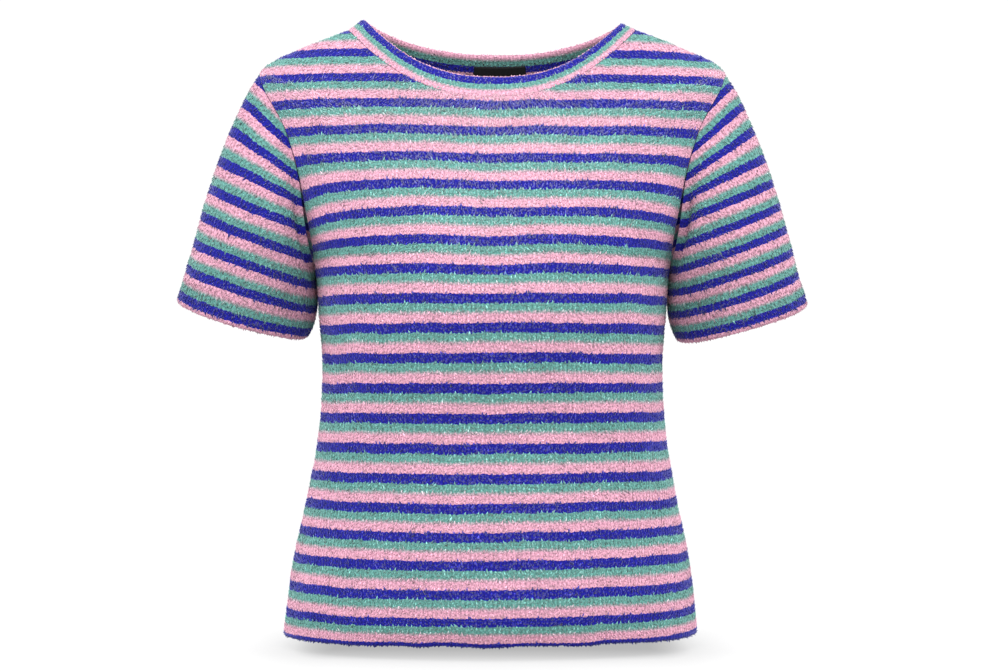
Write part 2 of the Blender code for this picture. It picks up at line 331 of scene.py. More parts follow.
def cloth_wall(name, surface, turned_rows, closed=False, fine_inside=False):
    """A closed wall of cloth.  surface holds for each fine row and column the outer point, the
    directions outward and past the folded edge at row 0, the wall's thickness, the dip at
    seams, the relief, and the cloth's own coordinates u, v and, on the turned-up layer,
    turned_v.  closed joins the last column to the first."""
    rows, columns = ((count - 1) // FINER for count in surface["u"].shape)
    mesh = wall_mesh(name, rows, columns, closed, fine_inside)
    place = {}
    for word in ("row", "column", "side"):
        place[word] = np.empty(len(mesh.vertices), np.float32)
        mesh.attributes[word].data.foreach_get("value", place[word])
        mesh.attributes.remove(mesh.attributes[word])
    fine_row, fine_column = (
        np.rint(place[word] * FINER).astype(int) for word in ("row", "column")
    )
    side = place["side"][:, None]
    at = {word: values[fine_row, fine_column] for word, values in surface.items()}
    half = at["thickness"][:, None] / 2
    middle = at["point"] - at["outward"] * half
    angle = math.pi * (1 - side)
    facing = np.cos(angle) * at["outward"] + np.sin(angle) * at["past"]
    dip = at["dip"][:, None] * side * at["outward"]
    points = middle + (half + at["relief"][:, None]) * facing - dip
    mesh.vertices.foreach_set("co", points.astype(np.float32).ravel())

    corner = np.empty(len(mesh.loops), int)
    mesh.loops.foreach_get("vertex_index", corner)
    sizes = np.empty(len(mesh.polygons), int)
    mesh.polygons.foreach_get("loop_total", sizes)
    face = np.repeat(np.arange(len(sizes)), sizes)
    face_side = np.bincount(face, place["side"][corner]) / sizes
    face_row = np.bincount(face, fine_row[corner]) / sizes
    over = (1 - place["side"]) * (at["turned_v"] - at["v"]) * (fine_row == 0)
    v = (at["v"] + over)[corner]
    turned = (face_side == 0) & (face_row < turned_rows)
    v = np.where(turned[face], at["turned_v"][corner], v)
    cloth = mesh.uv_layers.new(name="cloth")
    cloth.data.foreach_set("uv", np.stack([at["u"][corner], v], -1).astype(np.float32).ravel())

    bm = bmesh.new()
    bm.from_mesh(mesh)
    if closed:
        bmesh.ops.remove_doubles(bm, verts=bm.verts, dist=1e-5)
    bmesh.ops.recalc_face_normals(bm, faces=bm.faces)
    bm.to_mesh(mesh)
    bm.free()
    mesh.shade_smooth()
    return placed(name, mesh)


def panel_rows():
    """Run and greatest sweep of each fine row of a panel, hem to neck seam."""
    low, high = RUN_AT["underarm"], RUN_AT["shoulder point"]
    cells = round((low - HEM_STATIONS[-1]) / INNER_CELL)
    plain = np.linspace(HEM_STATIONS[-1], low, cells + 1)[1:]
    below = finer([*HEM_STATIONS, *plain])
    step = np.linspace(0, 1, ARMHOLE_CELLS * FINER + 1)[1:]
    risen = ARMHOLE_EVEN * step + (1 - ARMHOLE_EVEN) * (1 - np.cos(math.pi * step)) / 2
    beside, reach = armhole(np.arccos(np.clip(2 * risen - 1, -1, 1)))
    cells = round((TOP - high) / INNER_CELL)
    above = finer([*np.linspace(high, TOP - SEAM_ZONE, cells + 1), TOP])[1:]
    quarter = math.pi / 2
    sweeps = [np.full(len(below), quarter), reach, np.full(len(above), quarter)]
    return np.concatenate([below, beside, above]), np.concatenate(sweeps)


def body_stripe(point):
    """Stripe number at each point of the body.  The stripes sag a little in the middle, at
    the sides of the bust and on the left of the chest, and tilt with the way it was pulled on."""
    x, z = point[..., 0], point[..., 2]
    tilt = TILT_TOP * x * np.clip(1 + z / TILT_TURN, 0, 1)
    tilt -= TILT_HEM * x * np.clip((-z - TILT_TURN) / TILT_GROWTH, 0, 1)
    middle, bust, chest = (
        ((x - sag.x) / sag.width, (z - sag.z) / sag.height)
        for sag in (MIDDLE_SAG, BUST_SAG, CHEST_SAG)
    )
    drop = tilt + MIDDLE_SAG.depth * bell(middle[0]) * np.clip(middle[1], 0, 1)
    beside = bell(bust[1]) * np.clip(np.abs(bust[0]), 0, 1.15) ** 6
    drop += (BUST_SAG.depth - BUST_SLANT * x) * beside + CHEST_SAG.depth * bell(*chest)
    return smooth_through(BODY_STRIPES, z + drop)[..., 0]


def body_panel(name, seed):
    """The wall of cloth of the front or back, and the pile on it."""
    runs, greatest = panel_rows()
    tries = np.linspace(-1, 1, WIDTH_STEPS + 1)
    across = torso_point(tries * greatest[:, None], runs[:, None] + 0 * tries, name)
    steps = np.linalg.norm(np.diff(across, axis=1), axis=2)
    along = np.concatenate([np.zeros((len(runs), 1)), np.cumsum(steps, axis=1)], axis=1)
    width = along[:, -1]
    arc = seam_columns(width, round(np.median(width) / INNER_CELL))
    share = np.array([np.interp(a, b, tries) for a, b in zip(arc, along)])
    run = np.repeat(runs[:, None], arc.shape[1], axis=1)
    point, outward, up = torso_frame(share * greatest[:, None], run, name)
    u = arc - width[:, None] / 2
    v = STRIPE_REPEAT * body_stripe(point) + stripe_waver(u, run, seed + 5)
    to_side = np.minimum(arc, width[:, None] - arc)
    to_seam = np.minimum(to_side, TOP - run)
    hang = mottle(u, run, HEM_HANG, seed + 6) * np.exp(-run / HEM_HANG_REACH)
    point = point - (hang * seam_calm(to_seam))[..., None] * up
    surface = {
        "point": point,
        "outward": outward,
        "past": -up,
        "thickness": CLOTH + hem_layer(run),
        "dip": seam_dip(to_seam) + 0 * run,
        "relief": crinkle(u, v, seed) * seam_calm(to_seam),
        "nap": nap_size(np.minimum(to_side, TOP - run + OVER_NECK_SEAM), run),
        "u": u,
        "v": v,
        "turned_v": v[0] + math.pi * HEM_HALF + run - HEM_HALF,
    }
    panel = cloth_wall(name + "_panel", surface, HEM_CELLS * FINER)
    return panel, pile(name + "_pile", [surface, fold_layer(surface)], seed + 7)


# The knit's face is a pile of short tufts, one to each stitch.  They lean towards the stripe
# before their own, and every second column of stitches stands out as a rib.
WALE = 0.00185  # from one column of stitches to the next
COURSE = 0.0026
TUFT_WIDTH = 0.0022
TUFT_LENGTH = 0.0024
TUFT_HEIGHT = 0.0010
TUFT_WIDTHS = (0.8, 1.2)  # the least and the most, as shares of the width
TUFT_LENGTHS = (0.4, 1.6)
TUFT_HEIGHTS = (0.7, 1.2)
TUFT_ROOT = 0.0003  # how deep its foot sits in the cloth
TUFT_SWING = 0.22  # how far a tuft leans off its way on its own
SWING = Mottle(0.45, 0.007, 0.009)  # and together with its neighbours
STRAY = (0.38, 0.35)  # how far along and across a tuft stands off its stitch's place
PATCHES = Mottle(1.0, 0.006, 0.009)  # lighter and darker places in the pile
WIDE_PATCHES = Mottle(0.6, 0.022, 0.030)
RIB_GAIN = 0.07  # how much larger the tufts of a rib are, and how much smaller those between
PILE_SHIFT = 0.0011  # how far back from its foot a tuft's colour changes
WHITE = (1.0, 1.0, 1.0, 1.0)
TUFT_CORNERS = (  # across, along and out, as shares of its half width, length and height
    (0.0, -0.26, 0.0),
    (-0.9, 0.18, 0.0),
    (0.9, 0.18, 0.0),
    (0.0, 1.00, 1.0),
)
TUFT_FACES = ((0, 1, 2), (0, 2, 3), (0, 3, 1), (1, 3, 2))
FOLD_ROWS = 8  # of the layer that carries tufts round a folded edge
FOLD_END = 0.9 * math.pi
# Brightness of each tuft: foot and tip are painted shade at its foot and a painted highlight at
# its tip; patches, speck and specks differ at random.
ToneAndPaintedLight = namedtuple("ToneAndPaintedLight", "foot tip patches speck specks")
TONE_AND_PAINTED_LIGHT = ToneAndPaintedLight(foot=0.68, tip=1.26, patches=0.13, speck=0.55, specks=0.05)
FROST_AND_PAINTED_SHEEN_FOOT, FROST_AND_PAINTED_SHEEN_TIP = 0.0078, 0.0338  # the most white in a tuft: random white fibre, and a painted sheen that grows towards the tip
# rib is also a painted highlight on a rib's tufts, and as much painted shade on the tufts between
# the ribs.
Yarn = namedtuple("Yarn", "colour uneven rib")  # rib: how much lighter a rib's tufts are
YARNS = (
    Yarn((0.0085, 0.0092, 0.226, 1.0), 0.28, 0.06),
    Yarn((0.101, 0.268, 0.240, 1.0), 0.27, 0.15),
    Yarn((0.586, 0.294, 0.390, 1.0), 0.14, 0.05),
)


def sampled(grid, row, column):
    """A fine grid's values at any places between its rows and columns."""
    i = np.clip(np.floor(row).astype(int), 0, grid.shape[0] - 2)
    j = np.clip(np.floor(column).astype(int), 0, grid.shape[1] - 2)
    shape = row.shape + (1,) * (grid.ndim - 2)
    f, g = (row - i).reshape(shape), (column - j).reshape(shape)
    lower = grid[i, j] * (1 - g) + grid[i, j + 1] * g
    upper = grid[i + 1, j] * (1 - g) + grid[i + 1, j + 1] * g
    return lower * (1 - f) + upper * f


def fold_layer(surface):
    """The rounded edge round which the cloth is turned in, as a surface of its own."""
    first = {word: values[0] for word, values in surface.items()}
    half = first["thickness"][:, None] / 2
    turns = np.linspace(0, FOLD_END, FOLD_ROWS)
    facing = (
        np.cos(turns)[:, None, None] * first["outward"]
        + np.sin(turns)[:, None, None] * first["past"]
    )
    flat = np.zeros((len(turns), len(half)))
    return {
        "point": first["point"] - first["outward"] * half + half * facing,
        "outward": facing,
        "dip": flat + first["dip"],
        "relief": flat + first["relief"],
        "nap": flat + first["nap"],
        "u": flat + first["u"],
        "v": first["v"] + (first["turned_v"] - first["v"]) * (turns / math.pi)[:, None],
    }


def stitch_places(layer, rng):
    """Where the stitches lie among the layer's fine rows and columns, each a little off its
    even place, and which column of stitches each belongs to."""
    steps = np.linalg.norm(np.diff(layer["point"], axis=0), axis=2).mean(axis=1)
    along = np.concatenate([[0.0], np.cumsum(steps)])
    fine_rows, fine_columns = (np.arange(count) for count in layer["u"].shape)
    courses = np.interp(np.arange(COURSE / 2, along[-1], COURSE), along, fine_rows)
    per_row = COURSE / steps.mean()
    rows, columns, wales = [], [], []
    for course in courses:
        low = min(int(course), len(steps) - 1)
        across = layer["u"][low] + (course - low) * (layer["u"][low + 1] - layer["u"][low])
        wale = np.arange(math.ceil(across[0] / WALE), math.floor(across[-1] / WALE) + 1)
        place = (wale + rng.uniform(-STRAY[1], STRAY[1], len(wale))) * WALE
        columns.append(np.interp(place, across, fine_columns))
        rows.append(course + per_row * rng.uniform(-STRAY[0], STRAY[0], len(wale)))
        wales.append(wale)
    rows = np.clip(np.concatenate(rows), 0, fine_rows[-1])
    return rows, np.concatenate(columns), np.concatenate(wales)


def tufts(layer, seed):
    """Corner points, roots on the cloth, tones and frosts of a layer's tufts.  The tones hold
    painted shade at each tuft's foot and a painted highlight at its tip, and the frosts random
    white flecks with a painted sheen that grows towards the tip.  Each tuft is a closed spike of
    four faces."""
    rng = np.random.default_rng(seed)
    rows, columns, wale = stitch_places(layer, rng)
    count = len(rows)
    outward = unit(sampled(layer["outward"], rows, columns))
    upwards = np.gradient(layer["point"], axis=0)
    rise = np.sign(layer["v"][0] - layer["v"][-1]).mean()
    lean = unit(sampled(upwards, rows, columns)) * np.sign(rise)
    raised = sampled(layer["relief"], rows, columns) - sampled(layer["dip"], rows, columns)
    root = sampled(layer["point"], rows, columns) + outward * (raised - TUFT_ROOT)[:, None]

    on_rib = np.where(wale % 2 == 0, 1, -1)
    rib = 1 + RIB_GAIN * on_rib
    u, v = (sampled(layer[word], rows, columns) for word in ("u", "v"))
    swing = rng.normal(0, TUFT_SWING, count) + mottle(u, v, SWING, seed + 3)
    swing = swing[:, None]
    sideways = unit(np.cross(lean, outward))
    lean, sideways = lean + swing * sideways, sideways - swing * lean
    nap = sampled(layer["nap"], rows, columns)
    width = TUFT_WIDTH / 2 * rng.uniform(*TUFT_WIDTHS, count) * rib
    length = TUFT_LENGTH * rng.uniform(*TUFT_LENGTHS, count) * rib * nap
    height = (TUFT_HEIGHT * nap + TUFT_ROOT) * rng.uniform(*TUFT_HEIGHTS, count) * rib

    across, along, out = np.array(TUFT_CORNERS).T
    x, y, z = width[:, None] * across, length[:, None] * along, height[:, None] * out
    points = root[:, None] + sum(
        size[..., None] * way[:, None] for size, way in ((x, sideways), (y, lean), (z, outward))
    )
    patch = mottle(u, v, PATCHES, seed + 1) + mottle(u, v, WIDE_PATCHES, seed + 2)
    phase = np.mod((v - PILE_SHIFT) / STRIPE_REPEAT + 1 / 6, 1)
    uneven, lighter = np.array([yarn[1:] for yarn in YARNS])[np.floor(3 * phase).astype(int)].T
    # Random differences, with the ribs' tufts lighter and those between darker as painted light.
    own = np.exp(rng.normal(0, uneven) + TONE_AND_PAINTED_LIGHT.patches * patch + lighter * on_rib)
    own = np.where(rng.random(count) < TONE_AND_PAINTED_LIGHT.specks, TONE_AND_PAINTED_LIGHT.speck * own, own)
    # Painted shade at each tuft's foot, fading to a painted highlight at its tip.
    tone_and_painted_light = own[:, None] * (TONE_AND_PAINTED_LIGHT.foot + (TONE_AND_PAINTED_LIGHT.tip - TONE_AND_PAINTED_LIGHT.foot) * out)
    # Random white flecks, with a painted sheen that grows towards the tip.
    frost_and_painted_sheen = rng.random(count)[:, None] ** 3 * (FROST_AND_PAINTED_SHEEN_FOOT + (FROST_AND_PAINTED_SHEEN_TIP - FROST_AND_PAINTED_SHEEN_FOOT) * out)
    return points, np.stack([u, v], -1), tone_and_painted_light, frost_and_painted_sheen


def bake_spots(count):
    """A small square for each tuft, in rows and columns over the whole map, to bake it on."""
    side = math.ceil(math.sqrt(count))
    square = np.stack(np.divmod(np.arange(count), side), -1)
    inside = [0.5, 0.3] + np.array(TUFT_CORNERS)[np.ravel(TUFT_FACES), :2] * [0.35, 0.5]
    return ((square[:, None] + inside) / side).reshape(-1, 2)


def pile(name, layers, seed):
    """All the tufts of some layers as one mesh."""
    parts = [tufts(layer, seed + 100 * number) for number, layer in enumerate(layers)]
    points, cloth, tone_and_painted_light, frost_and_painted_sheen = (
        np.concatenate([part[place] for part in parts]) for place in range(4)
    )
    faces = np.array(TUFT_FACES)
    count, corners = tone_and_painted_light.shape
    mesh = bpy.data.meshes.new(name)
    mesh.vertices.add(count * corners)
    mesh.loops.add(count * faces.size)
    mesh.polygons.add(count * len(faces))
    vertex = (corners * np.arange(count)[:, None] + faces.ravel()).ravel()
    mesh.vertices.foreach_set("co", points.astype(np.float32).ravel())
    mesh.loops.foreach_set("vertex_index", vertex.astype(np.int32))
    starts = np.arange(0, len(vertex), faces.shape[1])
    mesh.polygons.foreach_set("loop_start", starts.astype(np.int32))
    for word, values in (("tone_and_painted_light", tone_and_painted_light), ("frost_and_painted_sheen", frost_and_painted_sheen)):
        layer = mesh.attributes.new(word, "FLOAT", "POINT")
        layer.data.foreach_set("value", values.astype(np.float32).ravel())
    maps = {"cloth": np.repeat(cloth, faces.size, axis=0), "OFBake": bake_spots(count)}
    for word, places in maps.items():
        mesh.uv_layers.new(name=word).data.foreach_set("uv", places.astype(np.float32).ravel())
    mesh.update(calc_edges=True)
    mesh.validate()
    mesh.shade_smooth()
    return placed(name, mesh)


class Shading:
    """Adds nodes to a material and links them, so that a pattern reads as a formula."""

    def __init__(self, name):
        self.material = bpy.data.materials.new(name)
        self.material.use_nodes = True
        self.tree = self.material.node_tree
        self.shader = self.tree.nodes["Principled BSDF"]

    def add(self, kind, inputs, output=0, **settings):
        """A node with these settings; inputs are values or other nodes' outputs."""
        node = self.tree.nodes.new("ShaderNode" + kind)
        for word, value in settings.items():
            setattr(node, word, value)
        for place, value in inputs.items():
            if isinstance(value, bpy.types.NodeSocket):
                self.tree.links.new(value, node.inputs[place])
            else:
                node.inputs[place].default_value = value
        return node.outputs[output]

    def maths(self, operation, *values):
        return self.add("Math", dict(enumerate(values)), operation=operation)

    def ramp(self, value, stops):
        """The colour at a value between stops, each a position and its colour."""
        node = self.tree.nodes.new("ShaderNodeValToRGB")
        self.tree.links.new(value, node.inputs[0])
        elements = node.color_ramp.elements
        while len(elements) < len(stops):
            elements.new(0.5)
        for element, (position, colour) in zip(elements, stops):
            element.position = position
            element.color = colour
        return node.outputs[0]

    def into(self, place, value):
        self.tree.links.new(value, self.shader.inputs[place])


def stripes_at(s, v):
    """The stripes' colour at a height on the cloth."""
    phase = s.maths("FRACT", s.maths("ADD", s.maths("DIVIDE", v, STRIPE_REPEAT), 1 / 6))
    blue, green, pink = (yarn.colour for yarn in YARNS)
    stops = (
        (0.000, blue),
        (0.330, blue),
        (0.336, green),
        (0.575, green),
        (0.735, pink),
        (0.994, pink),
        (1.000, blue),
    )
    return s.ramp(phase, stops)


def woolly(s):
    """Dull yarn with a faint sheen at its edges."""
    s.shader.inputs["Roughness"].default_value = 0.95
    s.shader.inputs["Specular IOR Level"].default_value = 0.15
    s.shader.inputs["Sheen Weight"].default_value = 0.20
    s.shader.inputs["Sheen Roughness"].default_value = 0.40
    return s.material


FRAY = 0.0009  # how far the ribs and loose fibres tooth the stripes' edges
FRAY_START = -0.0015
RELIEF_DEPTH = 0.0006


def knit_ground():
    """The knit under its pile, in three stripes whose edges are toothed by the ribs, with a
    painted highlight on the ribs and painted shade in the grooves between them.
    """
    s = Shading("knit_ground")
    cloth = s.add("UVMap", {}, uv_map="cloth")
    u, v = (s.add("SeparateXYZ", {0: cloth}, output=axis) for axis in (0, 1))
    wale, course = s.maths("DIVIDE", u, WALE), s.maths("DIVIDE", v, COURSE)
    stitches = s.add("CombineXYZ", {0: wale, 1: course})
    rib = s.maths("PINGPONG", s.maths("ADD", wale, 1.0), 1.0)
    fray = s.add("TexNoise", {0: stitches, "Scale": 0.8, "Detail": 2.0}, noise_dimensions="2D")
    rise = s.maths("MULTIPLY_ADD", fray, 2.4, s.maths("MULTIPLY", rib, 0.6))
    shift = s.maths("MULTIPLY_ADD", rise, FRAY, FRAY_START)
    stripes = stripes_at(s, s.maths("ADD", v, shift))

    fibres = s.add("TexNoise", {0: stitches, "Scale": 1.3, "Detail": 3.0}, noise_dimensions="2D")
    light = s.maths("MULTIPLY_ADD", fibres, 1.6, 0.1)
    # Painted light: lighter on the ribs and darker in the grooves between them.
    light = s.maths("MULTIPLY", light, s.maths("MULTIPLY_ADD", rib, 0.25, 0.80))
    s.into("Base Color", s.add("HueSaturation", {"Value": light, "Color": stripes}))
    bumps = s.maths("MULTIPLY_ADD", rib, 0.6, fibres)
    relief = {"Strength": 0.7, "Distance": RELIEF_DEPTH, "Height": bumps}
    s.into("Normal", s.add("Bump", relief))
    return woolly(s)


def knit_pile():
    """Tufts in their stripe's colour, with painted shade at their feet and a painted highlight at
    their tips, a few dark, and random white flecks with a painted sheen mixed in.
    """
    s = Shading("knit_pile")
    root = s.add("UVMap", {}, uv_map="cloth")
    v = s.add("SeparateXYZ", {0: root}, output=1)
    stripes = stripes_at(s, s.maths("SUBTRACT", v, PILE_SHIFT))
    # The tufts' brightness, with painted shade at their feet and painted highlights at their tips.
    tone_and_painted_light = s.add("Attribute", {}, output=2, attribute_name="tone_and_painted_light")
    # White flecks and painted sheen, mixed into the colour.
    frost_and_painted_sheen = s.add("Attribute", {}, output=2, attribute_name="frost_and_painted_sheen")
    with_frost_and_painted_sheen = s.add("MixRGB", {"Fac": frost_and_painted_sheen, "Color1": stripes, "Color2": WHITE})
    s.into("Base Color", s.add("HueSaturation", {"Value": tone_and_painted_light, "Color": with_frost_and_painted_sheen}))
    return woolly(s)


ground = knit_ground()
tufted = knit_pile()


def dress(piece, material):
    """Gives a piece its material and fixes it to the body."""
    piece.data.materials.append(material)
    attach(piece, "root")


for name, seed, area in (("front", 11, 0.202), ("back", 21, 0.207)):
    panel, nap = body_panel(name, seed)
    dress(panel, ground)
    dress(nap, tufted)
    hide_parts(name)


# ============================================================ sleeves
# Each sleeve is cut in one piece from the same knit, closed by a seam under the arm, set into
# the armhole, and turned up once at the cuff.  Its stripes tilt with the arm and fan out
# towards the shoulder, pink, green and blue, going down.
CUFF_CENTRE = (0.2120, 0.000, -0.2233)
CUFF_WIDTH = 0.1135
CUFF_DEPTH = 0.096
CUFF_SLOPE = math.radians(16.0)
CUFF_DIP = math.radians(8.5)
SLEEVE_GIRTH = 0.330
SLEEVE_COLUMNS = 39
CREASE_DEPTH = 0.009  # where the cloth turns in beside the armhole, low on its front
CREASE_AWAY = 0.009  # from the armhole seam
CREASE_WIDTH = 0.008
CREASE_TURN = math.radians(132)  # from the shoulder, down the front
CREASE_SPREAD = 0.5  # radians up and down from there
SLEEVE_CELLS = 25

Around = namedtuple("Around", "over front under back")
LEAVING_ARMHOLE = Around(
    over=(0.110, 0.000, -0.176),
    front=(0.069, -0.076, -0.092),
    under=(-0.006, 0.000, -0.085),
    back=(0.069, 0.050, -0.092),
)
REACHING_CUFF = Around(
    over=(0.058, 0.000, -0.195),
    front=(0.032, 0.000, -0.134),
    under=(0.034, 0.000, -0.050),
    back=(0.032, 0.000, -0.134),
)

# The courses of stitches cross the sleeve's middle line at a height, with a slope that grows
# towards the shoulder.  Near the cuff they also dip to the front, as the cuff does.
MIDDLE_LINE = (0.205, -0.045)
DIP_FROM = -0.060
DIP_GROWTH = 0.160
COURSE_ROUNDS = 25  # until a point's own course is found
Course = namedtuple("Course", "height slope_degrees")
SLEEVE_COURSES = (
    Course(-0.226, 16.5),
    Course(-0.180, 18.5),
    Course(-0.140, 22.0),
    Course(-0.100, 28.0),
    Course(-0.073, 35.5),
    Course(-0.043, 41.0),
    Course(0.000, 45.0),
)
Bend = namedtuple("Bend", "height shift")  # of the stripes, beside the armhole
BENDS = (Bend(-0.068, 0.0026), Bend(-0.134, -0.0024))
BEND_HEIGHT = 0.025
BEND_WIDTH = 0.035
LEFT_SLEEVE_STRIPES = (
    Stripe(-0.2275, 0),
    Stripe(-0.1654, 3),
    Stripe(-0.1012, 6),
    Stripe(-0.0490, 8),
)
RIGHT_SLEEVE_STRIPES = (
    Stripe(-0.2244, 0),
    Stripe(-0.1538, 3),
    Stripe(-0.1040, 5),
    Stripe(-0.0446, 7),
)


def armhole_loop(turns):
    """The armhole seam, all round: shoulder, down the front, under the arm, up the back."""
    seam = np.empty((len(turns), 3))
    for panel, chosen in (("front", turns <= math.pi), ("back", turns > math.pi)):
        turn = turns[chosen] if panel == "front" else 2 * math.pi - turns[chosen]
        run, sweep = armhole(turn)
        seam[chosen] = torso_point(sweep, run, panel)
    return seam


def cuff_loop(turns, drop):
    """The cuff's edge, from the outside of the arm round its front."""
    out = np.array([math.cos(CUFF_SLOPE), 0, math.sin(CUFF_SLOPE)])
    ahead = np.array([0, -math.cos(CUFF_DIP), -math.sin(CUFF_DIP)])
    across = np.cos(turns)[:, None] * CUFF_WIDTH / 2
    deep = np.sin(turns)[:, None] * CUFF_DEPTH / 2
    return np.array(CUFF_CENTRE) - [0, 0, drop] + across * out + deep * ahead


def blend_around(turns, arrows):
    """A smooth loop through four arrows, a quarter turn apart."""
    over, front, under, back = np.array(arrows)
    cos, sin, twice = (wave[:, None] for wave in (np.cos(turns), np.sin(turns), np.cos(2 * turns)))
    mean = (over + front + under + back) / 4
    oval = (over + under - front - back) / 4
    return mean + (over - under) / 2 * cos + (front - back) / 2 * sin + oval * twice


def sleeve_ends(turns, drop):
    """Start, first direction, end and last direction of the cloth at each turn."""
    turns = np.mod(turns, 2 * math.pi)
    leaving, reaching = (blend_around(turns, way) for way in (LEAVING_ARMHOLE, REACHING_CUFF))
    return armhole_loop(turns), leaving, cuff_loop(turns, drop), reaching


def sleeve_stripe(point, stripes):
    """Stripe number at each point of the wearer's left sleeve, or the right one mirrored.
    Beside the armhole the stripes bend into the fold over the underarm."""
    out, back = point[..., 0] - MIDDLE_LINE[0], point[..., 1] - MIDDLE_LINE[1]
    height = point[..., 2]
    for _ in range(COURSE_ROUNDS):
        slope = np.radians(smooth_through(SLEEVE_COURSES, np.clip(height, -0.25, 0))[..., 0])
        dip = CUFF_DIP * np.clip((DIP_FROM - height) / DIP_GROWTH, 0, 1)
        height = point[..., 2] - np.tan(slope) * out - np.tan(dip) * back
    bent = sum(bend.shift * bell((point[..., 2] - bend.height) / BEND_HEIGHT) for bend in BENDS)
    return smooth_through(stripes, height + bent * np.clip(-out / BEND_WIDTH, 0, 1))[..., 0]


def sleeve(name, side, drop, stripes, seed):
    """The wall of cloth of a sleeve, and the pile on it.  side is 1 for the wearer's left and
    -1 for the right, its mirror image, and drop is how much lower its cuff hangs."""
    radius = SLEEVE_GIRTH / (2 * math.pi)
    around = seam_columns(np.array(SLEEVE_GIRTH), SLEEVE_COLUMNS)
    turns = around / radius - math.pi
    start, leaving, end, reaching = sleeve_ends(turns, drop)
    length = np.linalg.norm(end - start, axis=1)
    hem = np.repeat(finer(HEM_STATIONS)[:, None], len(turns), axis=1)
    plain = np.linspace(0, 1, SLEEVE_CELLS * FINER + 1)[1:, None]
    plain = hem[-1] + plain * (length - SEAM_ZONE - hem[-1])
    last = length - SEAM_ZONE * np.linspace(1, 0, FINER + 1)[1:, None]
    to_cuff = np.concatenate([hem, plain, last])

    def place(turns, to_cuff):
        return hermite((1 - to_cuff / length)[..., None], *sleeve_ends(turns, drop))

    nudge = 1e-4
    point = place(turns, to_cuff)
    around_way = place(turns + nudge, to_cuff) - place(turns - nudge, to_cuff)
    down = unit(place(turns, to_cuff - nudge) - place(turns, to_cuff + nudge))
    outward = unit(np.cross(around_way, down))
    u = np.repeat(around[None, :], len(to_cuff), axis=0) - SLEEVE_GIRTH / 2
    stripe = sleeve_stripe(point, stripes)
    v = STRIPE_REPEAT * stripe + stripe_waver(u, to_cuff, seed + 5)
    to_armhole = length - to_cuff
    away = (to_armhole - CREASE_AWAY) / CREASE_WIDTH
    crease = CREASE_DEPTH * bell(away, (turns - CREASE_TURN) / CREASE_SPREAD)
    point = point - crease[..., None] * outward
    to_seam = np.minimum(to_armhole, np.minimum(around, SLEEVE_GIRTH - around))
    mirror = np.array([side, 1, 1])
    surface = {
        "point": point * mirror,
        "outward": outward * mirror,
        "past": down * mirror,
        "thickness": CLOTH + hem_layer(to_cuff),
        "dip": seam_dip(to_seam),
        "relief": crinkle(u, v, seed) * seam_calm(to_seam),
        "nap": nap_size(to_seam, to_cuff),
        "u": u,
        "v": v,
        "turned_v": v[0] - math.pi * HEM_HALF - (to_cuff - HEM_HALF),
    }
    wall = cloth_wall(name + "_cloth", surface, HEM_CELLS * FINER, closed=True)
    return wall, pile(name + "_pile", [surface, fold_layer(surface)], seed + 7)


for name, side, drop, stripes, seed in (
    ("sleeve_left", 1, 0.0028, LEFT_SLEEVE_STRIPES, 31),
    ("sleeve_right", -1, 0.0, RIGHT_SLEEVE_STRIPES, 41),
):
    wall, nap = sleeve(name, side, drop, stripes, seed)
    dress(wall, ground)
    dress(nap, tufted)
    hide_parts(name)


# ============================================================ neckband
# A strip of the same knit, folded double lengthwise and joined into a ring, with its raw edges
# overlocked to the neckline.  One pink, one green and one blue stripe run along its outside.
BAND_FOLD = Ring("band fold", 0.1085, 0.0435, 0.053, -0.0225, 0.030, 0.0095, 2.0, 2.4)
BAND_THICKNESS = 0.0042
BAND_COLUMNS = 96
BAND_ROWS = (0, 0.35, 0.70, 1)  # between the fold's and the seam's narrow cells
BAND_CALM = 0.5  # the band is pulled smoother than the body,
BAND_NAP = 0.75  # and its pile is shorter
BAND_TILT = 0.014  # the folded edge stands higher on the wearer's right
BAND_INSIDE = 1.35  # how much narrower the stripes are inside the band than on the body
BAND_JOIN = math.radians(100)  # the band's own join, just behind the wearer's left shoulder
BAND_SEED = 51
BandStripe = namedtuple("BandStripe", "below_fold cloth")
BAND_STRIPES = (
    BandStripe(0.0000, -0.0052),
    BandStripe(0.0078, 0.0040),
    BandStripe(0.0137, 0.0120),
    BandStripe(0.0195, 0.0195),
)
BAND_HEIGHT = BAND_STRIPES[-1].below_fold
BAND_START = -0.31  # where the cloth's relief starts along it


def band_point(turn, share):
    """Outer face of the neckband: turn 0 is the front middle, share 0 the seam, 1 the fold."""
    seam, fold = (np.array(ring[1:]) for ring in (TORSO_RINGS[-1], BAND_FOLD))
    values = seam + (fold - seam) * share[..., None]
    turn = np.mod(turn + math.pi, 2 * math.pi) - math.pi
    in_front = np.abs(turn) <= math.pi / 2
    sweep = np.where(in_front, turn, np.sign(turn) * math.pi - turn)
    front, back = (ring_point(values, sweep, panel) for panel in ("front", "back"))
    point = np.where(in_front[..., None], front, back)
    point[..., 2] -= BAND_TILT * point[..., 0] * share
    return point


def band_frame(turn, share):
    """Point of the band's outer face, its outward direction and its way up."""
    nudge = 1e-4
    up = unit(band_point(turn, share + nudge) - band_point(turn, share - nudge))
    around = unit(band_point(turn + nudge, share) - band_point(turn - nudge, share))
    return band_point(turn, share), unit(np.cross(around, up)), up


